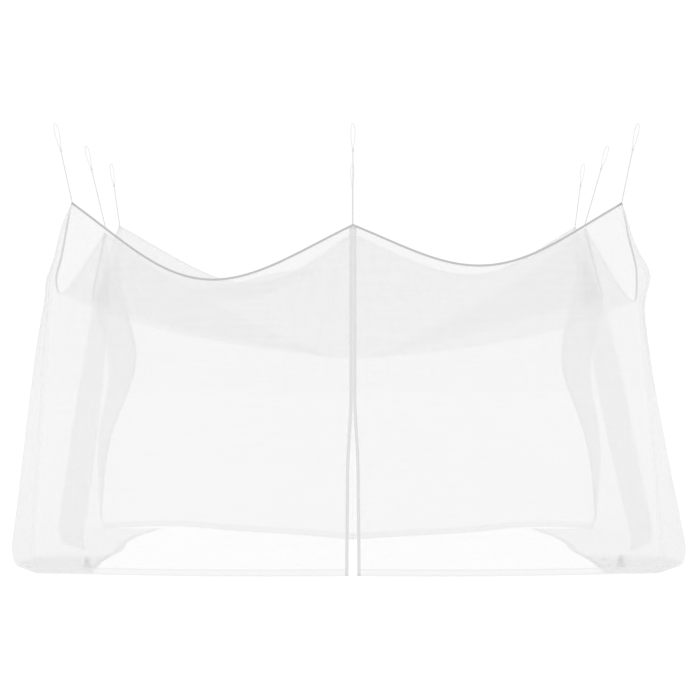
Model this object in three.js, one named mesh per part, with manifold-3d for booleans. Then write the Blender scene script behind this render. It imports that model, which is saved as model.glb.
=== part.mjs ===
// Gazebo mosquito net, hung as it is used. Four mesh walls and a slack mesh roof are sewn to a tape
// that runs round the top. Eight doubled cords hold the tape at its corners and at the middle of each
// side, so it swags between them and the roof sags in a belly. The front is two panels that meet at a
// door seam, and their tapes part towards the floor. The hem lies on the floor, turned in at the sides.
// Millimetres, +Z up. The origin is on the floor, at the middle of the outline. The front faces -Y.
import * as THREE from 'three';
import { mergeVertices } from 'three/addons/utils/BufferGeometryUtils.js';
import Module from 'manifold-3d';

// Driving dimensions
const clothThickness = 2;
const seamGap = 0.3;
const hemGap = 2.5;
const topTapeHeight = 12;
const topTapeThickness = 2.4;
const doorTapeWidth = 18;
const doorTapeThickness = 2.4;
const hookHeight = 2488;
const shaftDiameter = 7;
const strandDiameter = 3.6;
const loopLength = 150;
const loopWidth = 27;
const loopEnds = 0.08;
const knotDiameter = 11;
const knotLength = 20;
const knotRise = 4;
const middleDepth = 1650;

// Facets of each piece
const spanSegments = 12;
const rearSpanSegments = 14;
const wallFalls = [0.03, 0.08, 0.15, 0.25, 0.36, 0.48, 0.6, 0.72, 0.84, 0.95, 1];
const turnInShares = [0.25, 0.6, 1];
const roofRings = [0.96, 0.92, 0.86, 0.8, 0.7, 0.55, 0.38, 0.2];
const cordSides = 8;
const shaftSegments = 12;
const loopSegments = 16;

// The net from the door seam anticlockwise, seen from above: each hanging point and the middle of each
// swag between two. Across and depth are the tape's place, with the depth from the front corners.
// The foot is where the wall below it meets the floor. Facing is the outward way in degrees.
// Flare is the power of the wall's slope, puff and notch are how far it stands out under the tape and
// is drawn in lower down, turnIn is the hem's width on the floor, and rise is the roof's steep share.
const columns = ['name', 'across', 'depth', 'height', 'footAcross', 'footDepth', 'facing',
  'flare', 'puff', 'notch', 'turnIn', 'rise'];
const lines = [
  ['front_middle', 15, 0, 1930, 15, 0, -90, 1, 0, 0, 0, 0.3],
  ['front_right_swag', 757, -60, 1707, 742, -15, -90, 1, 30, 0, 0, 0.3],
  ['front_right', 1492, 0, 2048, 1752, 150, -31, 1, 70, 0, 300, 0.4],
  ['right_front_swag', 1645, 750, 1524, 2000, 850, 0, 1, -20, 0, 540, 0.5],
  ['right_middle', 1437, 1500, 1983, 1782, 1500, 0, 1.6, -30, 0, 360, 0.2],
  ['right_rear_swag', 1622, 2250, 1560, 1967, 2300, 0, 1, 20, 0, 580, 0],
  ['rear_right', 1525, 3000, 2055, 1682, 3150, 31, 1, 0, 190, 420, 0.3],
  ['rear_right_swag', 832, 3100, 1735, 702, 2760, 90, 1, 60, 0, 0, 0.3],
  ['rear_middle', 15, 3000, 2010, 15, 2300, 90, 1, 0, 0, 0, 0.3],
  ['rear_left_swag', -700, 3100, 1675, -638, 2860, 90, 1, 60, 0, 0, 0.3],
  ['rear_left', -1563, 3000, 2062, -1708, 3150, 149, 1, 0, 210, 380, 0.3],
  ['left_rear_swag', -1658, 2250, 1540, -1903, 2300, 180, 1, 0, 0, 450, 0.2],
  ['left_middle', -1497, 1500, 1958, -1683, 1500, 180, 1.7, -30, 0, 220, 0.2],
  ['left_front_swag', -1681, 750, 1570, -1980, 850, 180, 1, 60, 0, 500, 0.4],
  ['front_left', -1528, 0, 2050, -1788, 150, -149, 1, 105, 0, 320, 0.4],
  ['front_left_swag', -795, -60, 1630, -758, -15, -90, 1, 30, 0, 0, 0.3],
].map((row) => Object.fromEntries(columns.map((column, i) => [column, row[i]])));
const hookAcross = { left: -1622, middle: 15, right: 1582 };
const spanCount = lines.length / 2;

// Swags and billows
const swagRoundness = 0.35;
const puffReach = 0.1;
const notchFall = 0.44;
const notchReach = 0.2;
const notchStart = 8;
const earOut = 360;
const earReach = 0.07;
const earStart = 0.16;
const earFade = { share: 0.78, power: 1.5 };
const earBack = 330;
const earBackAt = 0.22;
const earBackReach = 0.16;
const earBackStart = 0.05;
const tuckIn = 35;
const tuckHeight = 120;
const tuckFrom = 1450;
const tuckOver = 250;

// Rolls of slack cloth just under the tape, beside the front corners
const rolls = [
  { at: 1.02, reach: 0.2, height: 1660, tall: 120, out: 62 },
  { at: 6.78, reach: 0.2, height: 1640, tall: 80, out: 19 },
];

// The roof's belly, and the folds behind the front tape
const bellyAcross = 12;
const bellyDepth = 1150;
const bellyHeight = 1185;
const bellyRound = 0.1;
const rimPower = 4;
const foldFade = 30;
const folds = [
  { at: 7.64, reach: 0.28, ring: 0.81, width: 0.065, up: 150 },
  { at: 7.64, reach: 0.3, ring: 0.925, width: 0.045, up: -70 },
  { at: 0.36, reach: 0.22, ring: 0.81, width: 0.065, up: 60 },
  { at: 0.36, reach: 0.22, ring: 0.925, width: 0.045, up: -30 },
];

// The door: half the distance between its tapes' middles, closed above and parted below
const doorClosed = 10;
const doorParted = 19;
const doorFoot = 4.5;
const doorOpensAt = 1000;
const doorPartedAt = 550;

const bell = (distance, reach) => Math.exp(-((distance / reach) ** 2));
const mix = (a, b, t) => a + (b - a) * t;

// A swag's fall between two hanging points: 0 at both, 1 in the middle, a parabola eased at its ends.
function swag(t) {
  const parabola = 4 * t * (1 - t);
  const eased = Math.sin(Math.PI * t) ** 2;
  return mix(parabola, eased, swagRoundness);
}

// The span that s is in, how far along it is, and the three lines that shape it.
function spanAt(s) {
  const index = Math.min(Math.floor(s), spanCount - 1);
  const start = lines[2 * index];
  const crest = lines[2 * index + 1];
  const end = lines[(2 * index + 2) % lines.length];
  return { index, t: s - index, start, crest, end };
}

// A value that is a at the start of the span, c at its swag and b at its end.
function across(span, valueOf) {
  const a = valueOf(span.start);
  const b = valueOf(span.end);
  const c = valueOf(span.crest);
  return mix(a, b, span.t) + (c - (a + b) / 2) * swag(span.t);
}

// One line of the wall in plan: from the tape to its foot, with its puff and its notch.
function linePlace(line, fall) {
  const slope = fall ** line.flare;
  const fade = line.puff > 0 ? 1 - slope : 1;
  const puff = line.puff * (1 - Math.exp(-fall / puffReach));
  const notch = line.notch * bell(fall - notchFall, notchReach) * Math.min(1, fall * notchStart);
  const out = (puff - notch) * fade;
  const facing = THREE.MathUtils.degToRad(line.facing);
  return {
    x: mix(line.across, line.footAcross, slope) + out * Math.cos(facing),
    y: mix(line.depth, line.footDepth, slope) + out * Math.sin(facing),
  };
}

// The rear corners' cloth folds out again behind the drawn-in corner, and its hem spreads back.
function earPlace(span, fall) {
  const fromRight = span.start.name === 'rear_right';
  const fromLeft = span.end.name === 'rear_left';
  if (!fromRight && !fromLeft) return { x: 0, y: 0 };
  const q = fromRight ? span.t : 1 - span.t;
  const bulge = (q / earReach) * Math.exp(1 - q / earReach);
  const grown = 1 - bell(fall, earStart);
  const faded = 1 - earFade.share * fall ** earFade.power;
  const back = bell(q - earBackAt, earBackReach) * (1 - Math.exp(-q / earBackStart));
  return { x: (fromRight ? 1 : -1) * earOut * bulge * grown * faded, y: earBack * back * fall };
}

// A point of the wall's middle surface. s runs round the net, one for each span, and fall is 0 at
// the tape and 1 on the floor.
function wallPoint(s, fall) {
  const span = spanAt(s);
  const ear = earPlace(span, fall);
  const height = across(span, (line) => line.height) * (1 - fall);
  let x = across(span, (line) => linePlace(line, fall).x) + ear.x;
  const y = across(span, (line) => linePlace(line, fall).y) + ear.y;
  for (const roll of rolls) {
    x += Math.sign(x) * roll.out * bell(s - roll.at, roll.reach) * bell(height - roll.height, roll.tall);
  }
  const low = THREE.MathUtils.clamp(1 - height / tuckHeight, 0, 1) ** 2;
  const aside = THREE.MathUtils.clamp((Math.abs(x) - tuckFrom) / tuckOver, 0, 1);
  x -= Math.sign(x) * tuckIn * low * aside;
  return new THREE.Vector3(x, y - middleDepth, height);
}

const tapePoint = (s) => wallPoint(s, 0);

// A point of the roof: ring is 1 at the tape and 0 at the bottom of the belly. The height falls as a
// rounded cone, and some lines have a steeper rim.
function roofPoint(s, ring) {
  const edge = tapePoint(s);
  const rise = across(spanAt(s), (line) => line.rise);
  const reach = Math.sqrt(1 + bellyRound ** 2) - bellyRound;
  const cone = (Math.sqrt(ring ** 2 + bellyRound ** 2) - bellyRound) / reach;
  let height = mix(bellyHeight, edge.z, mix(cone, ring ** rimPower, rise));
  for (const fold of folds) {
    height += fold.up * bell(s - fold.at, fold.reach) * bell(ring - fold.ring, fold.width)
      * (1 - ring ** foldFade);
  }
  return new THREE.Vector3(
    mix(bellyAcross, edge.x, ring), mix(bellyDepth - middleDepth, edge.y, ring), height);
}

// How much longer the tape is than its plan at s: its upright size is its height times this.
function tapeSlant(s) {
  const step = 0.004;
  let slant = 0;
  for (const side of [-step, step]) {
    const here = tapePoint(s);
    const there = tapePoint((s + side + spanCount) % spanCount);
    const run = Math.hypot(there.x - here.x, there.y - here.y);
    slant += Math.hypot(run, there.z - here.z) / run / 2;
  }
  return slant;
}

const tapeHalf = (s) => (topTapeHeight / 2) * tapeSlant(s);

// The tape's lower edge less the gap of a seam.
const underTape = (s) => tapePoint(s).z - tapeHalf(s) - seamGap * tapeSlant(s);

// Half the distance between the door tapes' middles at a height.
function doorHalf(height) {
  const opened = THREE.MathUtils.smoothstep(-height, -doorOpensAt, -doorPartedAt);
  const spread = THREE.MathUtils.smoothstep(-height, -doorPartedAt, 0);
  return doorClosed + doorParted * opened + doorFoot * spread;
}

// How far along a front span, on its right or left of the door seam, a distance from the seam is.
function alongFront(distance, fall, side) {
  const seam = wallPoint(0, fall).x;
  let share = distance / hookAcross.right;
  for (let pass = 0; pass < 4; pass += 1) {
    const place = wallPoint(side > 0 ? share : spanCount - share, fall).x;
    share *= distance / Math.abs(place - seam);
  }
  return share;
}

// The places round the net that every wall, tape and roof shares, from the door seam to the door seam.
const stations = [];
for (let index = 0; index < spanCount; index += 1) {
  const crest = lines[2 * index + 1].name;
  const count = crest.startsWith('rear_') ? rearSpanSegments : spanSegments;
  for (let i = 0; i < count; i += 1) {
    let t = i / count;
    if (crest === 'rear_right_swag') t **= 1.6;
    if (crest === 'rear_left_swag') t = 1 - (1 - t) ** 1.6;
    stations.push(index + t);
  }
}
stations.push(spanCount);
const stationOf = (s) => stations.indexOf(s);

// A front wall starts beside its door tape, so its stations are squeezed away from the seam.
const doorEdge = (fall) => doorHalf(lines[0].height * (1 - fall)) + doorTapeWidth / 2 + seamGap;
function wallStation(s, fall) {
  if (s <= 1) return mix(alongFront(doorEdge(fall), fall, 1), 1, s);
  if (s < spanCount - 1) return s;
  const door = spanCount - alongFront(doorEdge(fall), fall, -1);
  return mix(spanCount - 1, door, s - (spanCount - 1));
}

// The tape's places: those of the walls' tops, and the door seam between the first and the last.
const rim = [0, ...stations.map((s) => wallStation(s, 0))];
const rimOf = (s) => rim.indexOf(s);

// The wall's rows of points, from just under the tape to the floor, then in along the floor.
const wallRows = [];
wallRows.push(stations.map((s) => {
  const station = wallStation(s, 0);
  return tapePoint(station).setZ(underTape(station));
}));
for (const fall of wallFalls) {
  wallRows.push(stations.map((s) => wallPoint(wallStation(s, fall), fall)));
}
const floorRow = wallRows.length - 1;
for (const share of turnInShares) {
  wallRows.push(stations.map((s, i) => {
    const foot = wallRows[floorRow][i];
    const width = Math.max(across(spanAt(s), (line) => line.turnIn), 1);
    return new THREE.Vector3(foot.x - Math.sign(foot.x) * width * share, foot.y, clothThickness / 2);
  }));
}

// Triangle indices of a grid of rows and columns, wound so that rows go down and columns go round.
function gridFaces(rowCount, columnCount, indexOf) {
  const faces = [];
  for (let row = 0; row + 1 < rowCount; row += 1) {
    for (let column = 0; column + 1 < columnCount; column += 1) {
      const a = indexOf(row, column);
      const b = indexOf(row, column + 1);
      const c = indexOf(row + 1, column + 1);
      const d = indexOf(row + 1, column);
      faces.push([a, d, c], [a, c, b]);
    }
  }
  return faces;
}

function geometryOf(points, faces) {
  const geometry = new THREE.BufferGeometry();
  const places = points.flatMap((point) => [point.x, point.y, point.z]);
  geometry.setAttribute('position', new THREE.Float32BufferAttribute(places, 3));
  geometry.setIndex(faces.flat());
  return geometry;
}

// The outward way at each point of a middle surface.
function normalsOf(points, faces) {
  const geometry = geometryOf(points, faces);
  geometry.computeVertexNormals();
  const normal = geometry.getAttribute('normal');
  return points.map((point, i) => new THREE.Vector3().fromBufferAttribute(normal, i));
}

const wallNormals = (() => {
  const columnCount = stations.length;
  const rowCount = floorRow + 1;
  const points = wallRows.slice(0, rowCount).flat();
  const faces = gridFaces(rowCount, columnCount, (row, column) => row * columnCount + column);
  const normals = normalsOf(points, faces);
  const level = (normal) => normal.setZ(0).normalize();
  const rows = [];
  for (let row = 0; row < rowCount; row += 1) {
    rows.push(normals.slice(row * columnCount, (row + 1) * columnCount));
  }
  rows[0] = stations.map((s) => tapeOutward(wallStation(s, 0)));
  rows[floorRow].forEach(level);
  return rows;
})();

// A closed sheet from rows of points and the way that each is thickened.
function sheet(rows, ways) {
  const columnCount = rows[0].length;
  const points = [];
  for (const side of [1, -1]) {
    rows.forEach((row, i) => row.forEach((point, j) => {
      points.push(point.clone().addScaledVector(ways[i][j], (side * clothThickness) / 2));
    }));
  }
  const half = rows.length * columnCount;
  const front = gridFaces(rows.length, columnCount, (row, column) => row * columnCount + column);
  const back = front.map(([a, b, c]) => [a + half, c + half, b + half]);
  const edge = [];
  const bottom = half - columnCount;
  for (let j = 0; j + 1 < columnCount; j += 1) {
    edge.push([j, j + 1, j + 1 + half], [j, j + 1 + half, j + half]);
    const a = bottom + j;
    edge.push([a + 1, a, a + half], [a + 1, a + half, a + 1 + half]);
  }
  for (let i = 0; i + 1 < rows.length; i += 1) {
    const first = i * columnCount;
    const below = first + columnCount;
    const last = below - 1;
    const lastBelow = last + columnCount;
    edge.push([last, lastBelow, lastBelow + half], [last, lastBelow + half, last + half]);
    edge.push([below, first, below + half], [first, first + half, below + half]);
  }
  return geometryOf(points, [...front, ...back, ...edge]);
}

// One wall between two corners or a corner and the door, from the shared rows. Its end columns are
// drawn back from the corner's mitre by half a seam gap, and a turned-in hem is thickened upright.
function wallPanel(first, last, turnedIn) {
  const from = stationOf(first);
  const to = stationOf(last);
  const rowCount = turnedIn ? wallRows.length : floorRow + 1;
  const rows = [];
  const ways = [];
  for (let i = 0; i < rowCount; i += 1) {
    const row = wallRows[i].slice(from, to + 1).map((point) => point.clone());
    const upright = new THREE.Vector3(0, 0, 1);
    const way = Array.from(row, (_, j) => {
      if (i > floorRow) return upright.clone();
      const normal = wallNormals[i][from + j].clone();
      return turnedIn && i === floorRow ? normal.negate().add(upright).normalize().negate() : normal;
    });
    if (turnedIn && i === floorRow) row.forEach((point) => point.setZ(clothThickness / 2));
    if (turnedIn && i > floorRow) way.forEach((up) => up.negate());
    const gap = turnedIn && i >= floorRow ? hemGap : seamGap / 2;
    drawBack(row, 0, 1, from > 0 ? wallRows[i][from - 1] : null, gap);
    drawBack(row, row.length - 1, row.length - 2, wallRows[i][to + 1] ?? null, gap);
    rows.push(row);
    ways.push(way);
  }
  return sheet(rows, ways);
}

// Moves a row's end towards its neighbour, so that it stays a gap off the mitre with what follows.
function drawBack(row, end, inner, beyond, gap) {
  if (!beyond) return;
  const own = row[inner].clone().sub(row[end]).normalize();
  const other = beyond.clone().sub(row[end]).normalize();
  const mitre = own.clone().sub(other).normalize();
  row[end].addScaledVector(own, gap / Math.max(own.dot(mitre), 0.2));
}

// The roof: rings of points inside the tape, closed at the bottom of the belly.
function roofGeometry() {
  const count = rim.length;
  const upright = new THREE.Vector3(0, 0, 1);
  const inset = topTapeThickness / 2 + seamGap;
  const rings = [rim.map((s) => tapePoint(s).addScaledVector(tapeOutward(s), -inset))];
  for (const ring of roofRings) rings.push(rim.map((s) => roofPoint(s, ring)));
  const middle = roofPoint(0, 0);
  const points = [...rings.flat(), middle];
  const faces = [];
  for (let row = 0; row + 1 < rings.length; row += 1) {
    for (let j = 0; j < count; j += 1) {
      const next = (j + 1) % count;
      const a = row * count + j;
      const b = row * count + next;
      faces.push([a, b, b + count], [a, b + count, a + count]);
    }
  }
  const last = (rings.length - 1) * count;
  for (let j = 0; j < count; j += 1) faces.push([last + j, last + ((j + 1) % count), points.length - 1]);
  const ways = normalsOf(points, faces);
  for (let j = 0; j < count; j += 1) ways[j].copy(upright);
  const half = points.length;
  const upper = points.map((point, i) => point.clone().addScaledVector(ways[i], clothThickness / 2));
  const lower = points.map((point, i) => point.clone().addScaledVector(ways[i], -clothThickness / 2));
  const under = faces.map(([a, b, c]) => [a + half, c + half, b + half]);
  const edge = [];
  for (let j = 0; j < count; j += 1) {
    const next = (j + 1) % count;
    edge.push([next, j, j + half], [next, j + half, next + half]);
  }
  return geometryOf([...upper, ...lower], [...faces, ...under, ...edge]);
}

// The level outward way of the tape at s, mitred at the corners.
function tapeOutward(s) {
  const step = 0.002;
  const here = tapePoint(s);
  const ways = [-step, step].map((side) => {
    const there = tapePoint((s + side + spanCount) % spanCount);
    const along = there.sub(here).multiplyScalar(Math.sign(side)).setZ(0).normalize();
    return new THREE.Vector3(along.y, -along.x, 0);
  });
  const mitre = ways[0].clone().add(ways[1]).normalize();
  return mitre.multiplyScalar(1 / Math.max(mitre.dot(ways[0]), 0.5));
}

// A flat tape through a list of sections of four corners, closed at both ends.
function band(sections) {
  const points = sections.flat();
  const faces = [];
  for (let i = 0; i + 1 < sections.length; i += 1) {
    for (let j = 0; j < 4; j += 1) {
      const a = 4 * i + j;
      const b = 4 * i + ((j + 1) % 4);
      faces.push([a, b, b + 4], [a, b + 4, a + 4]);
    }
  }
  const end = points.length - 4;
  faces.push([0, 2, 1], [0, 3, 2], [end, end + 1, end + 2], [end, end + 2, end + 3]);
  return geometryOf(points, faces);
}

// The top tape of one side, from corner to corner.
function topTape(stationList) {
  const row = stationList.map((s) => tapePoint(s));
  const last = row.length - 1;
  drawBack(row, 0, 1, neighbour(stationList[0], -1), seamGap / 2);
  drawBack(row, last, last - 1, neighbour(stationList[last], 1), seamGap / 2);
  return band(row.map((middle, i) => {
    const s = stationList[i];
    const out = tapeOutward(s).multiplyScalar(topTapeThickness / 2);
    const up = new THREE.Vector3(0, 0, tapeHalf(s));
    return [
      middle.clone().add(out).add(up),
      middle.clone().add(out).sub(up),
      middle.clone().sub(out).sub(up),
      middle.clone().sub(out).add(up),
    ];
  }));
}

// The tape's next point past a corner.
function neighbour(s, side) {
  return tapePoint(rim[(rimOf(s) + side + rim.length) % rim.length]);
}

// A door tape down the edge of a front panel: side is -1 for the left one and 1 for the right one.
function doorTape(side) {
  const seam = tapePoint(0);
  const edges = [-1, 1].map((way) => way * (doorTapeWidth / 2));
  const reach = doorEdge(0);
  const reachStation = side > 0 ? rim[1] : rim[rim.length - 1];
  const heightOf = (s, fall) => (fall > 0 ? tapePoint(s).z * (1 - fall) : underTape(s));
  const sections = [];
  for (const fall of [0, ...wallFalls]) {
    const half = doorHalf(seam.z * (1 - fall));
    const corners = edges.map((edge) => {
      const place = new THREE.Vector3(seam.x + side * half + edge, seam.y, 0);
      const share = (half + side * edge) / reach;
      place.z = mix(heightOf(0, fall), heightOf(reachStation, fall), share);
      return place;
    });
    const thick = new THREE.Vector3(0, doorTapeThickness / 2, 0);
    sections.push([
      corners[0].clone().sub(thick),
      corners[1].clone().sub(thick),
      corners[1].clone().add(thick),
      corners[0].clone().add(thick),
    ].reverse());
  }
  return band(sections);
}

// Solids that are joined: each is one closed mesh with shared corners.
const wasm = await Module();
wasm.setup();

function solidOf(geometry) {
  const bare = geometry.clone();
  for (const name of ['normal', 'uv']) bare.deleteAttribute(name);
  const merged = mergeVertices(bare);
  return new wasm.Manifold(new wasm.Mesh({
    numProp: 3,
    vertProperties: new Float32Array(merged.getAttribute('position').array),
    triVerts: new Uint32Array(merged.getIndex().array),
  }));
}

function joined(geometries) {
  const whole = geometries.map(solidOf).reduce((a, b) => a.add(b));
  const mesh = whole.getMesh();
  const geometry = new THREE.BufferGeometry();
  geometry.setAttribute('position', new THREE.BufferAttribute(mesh.vertProperties, 3));
  geometry.setIndex(new THREE.BufferAttribute(mesh.triVerts, 1));
  return geometry;
}

// A round cord of one diameter along a curve.
function cordAlong(curve, diameter, steps) {
  const section = new THREE.Shape();
  for (let i = 0; i < cordSides; i += 1) {
    const angle = (2 * Math.PI * i) / cordSides;
    const x = (Math.cos(angle) * diameter) / 2;
    const y = (Math.sin(angle) * diameter) / 2;
    if (i === 0) section.moveTo(x, y);
    else section.lineTo(x, y);
  }
  section.closePath();
  return new THREE.ExtrudeGeometry(section, { extrudePath: curve, steps, bevelEnabled: false });
}

// The open loop at a cord's top, as a teardrop in the plane of the cord and the X axis.
class Teardrop extends THREE.Curve {
  constructor(base, along, aside) {
    super();
    Object.assign(this, { base, along, aside });
  }

  getPoint(t, target = new THREE.Vector3()) {
    const turn = 2 * Math.PI * mix(loopEnds, 1 - loopEnds, t);
    const width = (loopWidth - strandDiameter) / 2;
    const sideways = width * Math.sin(turn) * Math.sin(turn / 2) * 1.3;
    const up = ((loopLength - strandDiameter / 2) * (1 - Math.cos(turn))) / 2;
    return target.copy(this.base).addScaledVector(this.along, up).addScaledVector(this.aside, sideways);
  }
}

// A hanging cord: two strands laid together from the tape to a knot, and opened above it in a loop.
// The loop's two strands leave the knot side by side, clear of each other.
function tie(line, hookX) {
  const s = lines.indexOf(line) / 2;
  const start = tapePoint(s);
  start.z += tapeHalf(s) + seamGap;
  const hook = new THREE.Vector3(hookX, start.y, hookHeight);
  start.z += (Math.abs(hook.x - start.x) / (hook.z - start.z)) * (shaftDiameter / 2);
  const along = hook.clone().sub(start).normalize();
  const base = hook.clone().addScaledVector(along, -loopLength);
  const knot = base.clone().addScaledVector(along, knotRise);
  const aside = new THREE.Vector3(0, 1, 0).cross(along).normalize();
  const shaft = cordAlong(new THREE.LineCurve3(start, knot), shaftDiameter, shaftSegments);
  const loop = cordAlong(new Teardrop(base, along, aside), strandDiameter, loopSegments);
  const profile = [[0, -1], [0.8, -0.6], [1, 0], [0.8, 0.6], [0, 1]];
  const outline = profile.map(([r, y]) => new THREE.Vector2((r * knotDiameter) / 2, (y * knotLength) / 2));
  const ball = new THREE.LatheGeometry(outline, cordSides);
  const turned = new THREE.Quaternion().setFromUnitVectors(new THREE.Vector3(0, 1, 0), along);
  ball.applyQuaternion(turned).translate(knot.x, knot.y, knot.z);
  return joined([shaft, loop, ball]);
}

// Materials
const finish = (color, roughness, opacity = 1) => new THREE.MeshStandardMaterial({
  color, roughness, metalness: 0, opacity, transparent: opacity < 1, side: THREE.DoubleSide,
});
const mesh = finish(0xf2f2f0, 0.9, 0.35);
const tape = finish(0xc4c4c4, 0.8);
const cord = finish(0xdcdcda, 0.85);

const net = new THREE.Group();
function add(name, geometry, material) {
  const piece = new THREE.Mesh(geometry, material.clone());
  piece.name = name;
  net.add(piece);
}

add('roof', roofGeometry(), mesh);
add('front_right_panel', wallPanel(0, 1, false), mesh);
add('right_wall', wallPanel(1, 3, true), mesh);
add('rear_wall', wallPanel(3, 5, false), mesh);
add('left_wall', wallPanel(5, 7, true), mesh);
add('front_left_panel', wallPanel(7, 8, false), mesh);

const between = (first, last) => rim.slice(rimOf(first), rimOf(last) + 1);
add('front_tape', topTape([...rim.slice(rimOf(7)), ...between(0, 1)]), tape);
add('right_tape', topTape(between(1, 3)), tape);
add('rear_tape', topTape(between(3, 5)), tape);
add('left_tape', topTape(between(5, 7)), tape);
add('left_door_tape', doorTape(-1), tape);
add('right_door_tape', doorTape(1), tape);

for (const line of lines) {
  if (line.name.endsWith('swag')) continue;
  const side = line.name.startsWith('left') || line.name.endsWith('left') ? 'left'
    : line.name.startsWith('right') || line.name.endsWith('right') ? 'right' : 'middle';
  add(`${line.name}_cord`, tie(line, hookAcross[side]), cord);
}

export default net;
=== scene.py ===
import math

import bpy
import numpy as np
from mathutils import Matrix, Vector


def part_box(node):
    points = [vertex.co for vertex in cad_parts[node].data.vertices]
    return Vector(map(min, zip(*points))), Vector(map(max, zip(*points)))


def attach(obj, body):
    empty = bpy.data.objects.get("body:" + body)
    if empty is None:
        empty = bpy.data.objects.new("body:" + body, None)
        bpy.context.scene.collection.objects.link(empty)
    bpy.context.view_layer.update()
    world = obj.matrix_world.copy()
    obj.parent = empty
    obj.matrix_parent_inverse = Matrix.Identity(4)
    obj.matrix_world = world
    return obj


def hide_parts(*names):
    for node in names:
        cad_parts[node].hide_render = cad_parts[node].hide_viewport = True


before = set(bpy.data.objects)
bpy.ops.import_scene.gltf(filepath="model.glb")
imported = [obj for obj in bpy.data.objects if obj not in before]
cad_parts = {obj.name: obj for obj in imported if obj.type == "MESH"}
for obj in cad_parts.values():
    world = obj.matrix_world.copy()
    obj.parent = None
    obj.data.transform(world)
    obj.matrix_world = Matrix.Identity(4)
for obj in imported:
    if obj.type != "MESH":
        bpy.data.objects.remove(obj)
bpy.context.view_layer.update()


# Camera: level with the middle of the net and far in front of the door, with a long lens, so that
# the side walls show as narrow strips and the rear wall shows through the front one.
lens_length = 119.8
camera_place = (-0.001, -14.45, 1.32)
camera_dip = 0.344
camera_data = bpy.data.cameras.new("camera")
camera_data.sensor_width = 36.0
camera_data.lens = lens_length
camera_data.clip_end = 200.0
camera = bpy.data.objects.new("camera", camera_data)
camera.location = camera_place
camera.rotation_euler = (math.radians(90.0 - camera_dip), 0.0, 0.0)
bpy.context.collection.objects.link(camera)
bpy.context.scene.camera = camera


# Cords: eight doubled polyester cords, each two strands laid together, drawn taut from the top tape
# to a hook on the gazebo's frame. Each strand pair is twisted, and ends in the knot under its loop.
hook_height = 2.488
cord_lift = 0.0006
loop_length = 0.150
loop_width = 0.027
loop_roundness = 1.3
loop_ends = 0.05
loop_points = 56
loop_strand = 1.1
strand_radius = 0.0018
lay_radius = 0.0017
twist_pitch = 0.024
points_per_twist = 10
knot_height = 0.012
knot_radius = 0.0038
knot_swell = 0.0008
knot_turns = 4.0
knot_points = 72
knot_strand = 1.2

# node, the tape's place across and in depth, and the hook's place across
cord_places = [
    ("front_middle_cord", 0.015, -1.650, 0.015),
    ("front_right_cord", 1.492, -1.650, 1.582),
    ("right_middle_cord", 1.437, -0.150, 1.582),
    ("rear_right_cord", 1.525, 1.350, 1.582),
    ("rear_middle_cord", 0.015, 1.350, 0.015),
    ("rear_left_cord", -1.563, 1.350, -1.622),
    ("left_middle_cord", -1.497, -0.150, -1.622),
    ("front_left_cord", -1.528, -1.650, -1.622),
]


def tube(path, radius, sides):
    """A round tube along a path. At each point of the path a circle of the radius lies square to the
    path: the point plus radius times (cosine of the angle times one side way, plus sine times the
    other). The side ways come from the path's direction and the Y axis. Both ends are closed."""
    along = np.gradient(path, axis=0)
    along /= np.linalg.norm(along, axis=1)[:, None]
    first = np.cross(along, [0.0, 1.0, 0.0])
    weak = np.linalg.norm(first, axis=1) < 0.2
    first[weak] = np.cross(along[weak], [1.0, 0.0, 0.0])
    first /= np.linalg.norm(first, axis=1)[:, None]
    second = np.cross(first, along)
    angle = np.linspace(0.0, 2.0 * math.pi, sides, endpoint=False)
    ring = np.cos(angle)[:, None] * first[:, None, :] + np.sin(angle)[:, None] * second[:, None, :]
    points = (path[:, None, :] + radius * ring).reshape(-1, 3)
    row, column = np.meshgrid(np.arange(len(path) - 1), np.arange(sides), indexing="ij")
    here = row * sides + column
    beside = row * sides + (column + 1) % sides
    faces = np.stack([here, here + sides, beside + sides, beside], axis=-1).reshape(-1, 4)
    length = np.concatenate([[0.0], np.cumsum(np.linalg.norm(np.diff(path, axis=0), axis=1))])
    chart = np.stack([np.repeat(length, sides), np.tile(angle * radius, len(path))], axis=-1)
    last = (len(path) - 1) * sides
    ends = [list(range(sides)), list(range(last + sides - 1, last - 1, -1))]
    return points, faces, chart, ends


def mesh_piece(name, parts, material):
    """One object from several lists of points, faces, charts and end faces, put one after another.
    The chart becomes the UV map, in metres along and round the piece."""
    points, faces, charts, count = [], [], [], 0
    for part_points, part_faces, part_chart, part_ends in parts:
        points.append(part_points)
        charts.append(part_chart)
        faces += (part_faces + count).tolist()
        faces += [[corner + count for corner in end] for end in part_ends]
        count += len(part_points)
    mesh = bpy.data.meshes.new(name)
    mesh.from_pydata(np.concatenate(points).tolist(), [], faces)
    mesh.polygons.foreach_set("use_smooth", [True] * len(mesh.polygons))
    corner = np.empty(len(mesh.loops), np.int32)
    mesh.loops.foreach_get("vertex_index", corner)
    uv = mesh.uv_layers.new(name="chart")
    uv.data.foreach_set("uv", np.concatenate(charts)[corner].astype(np.float32).ravel())
    mesh.materials.append(material)
    mesh.update()
    piece = bpy.data.objects.new(name, mesh)
    bpy.context.collection.objects.link(piece)
    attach(piece, "root")
    return piece


def join(tree, start, end):
    tree.links.new(start, end)


def number(tree, operation, first, second=None, third=None):
    """A Math node, with each input a number or a socket."""
    node = tree.nodes.new("ShaderNodeMath")
    node.operation = operation
    for place, value in enumerate((first, second, third)):
        if value is None:
            continue
        if isinstance(value, (int, float)):
            node.inputs[place].default_value = value
        else:
            join(tree, value, node.inputs[place])
    return node.outputs[0]


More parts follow.
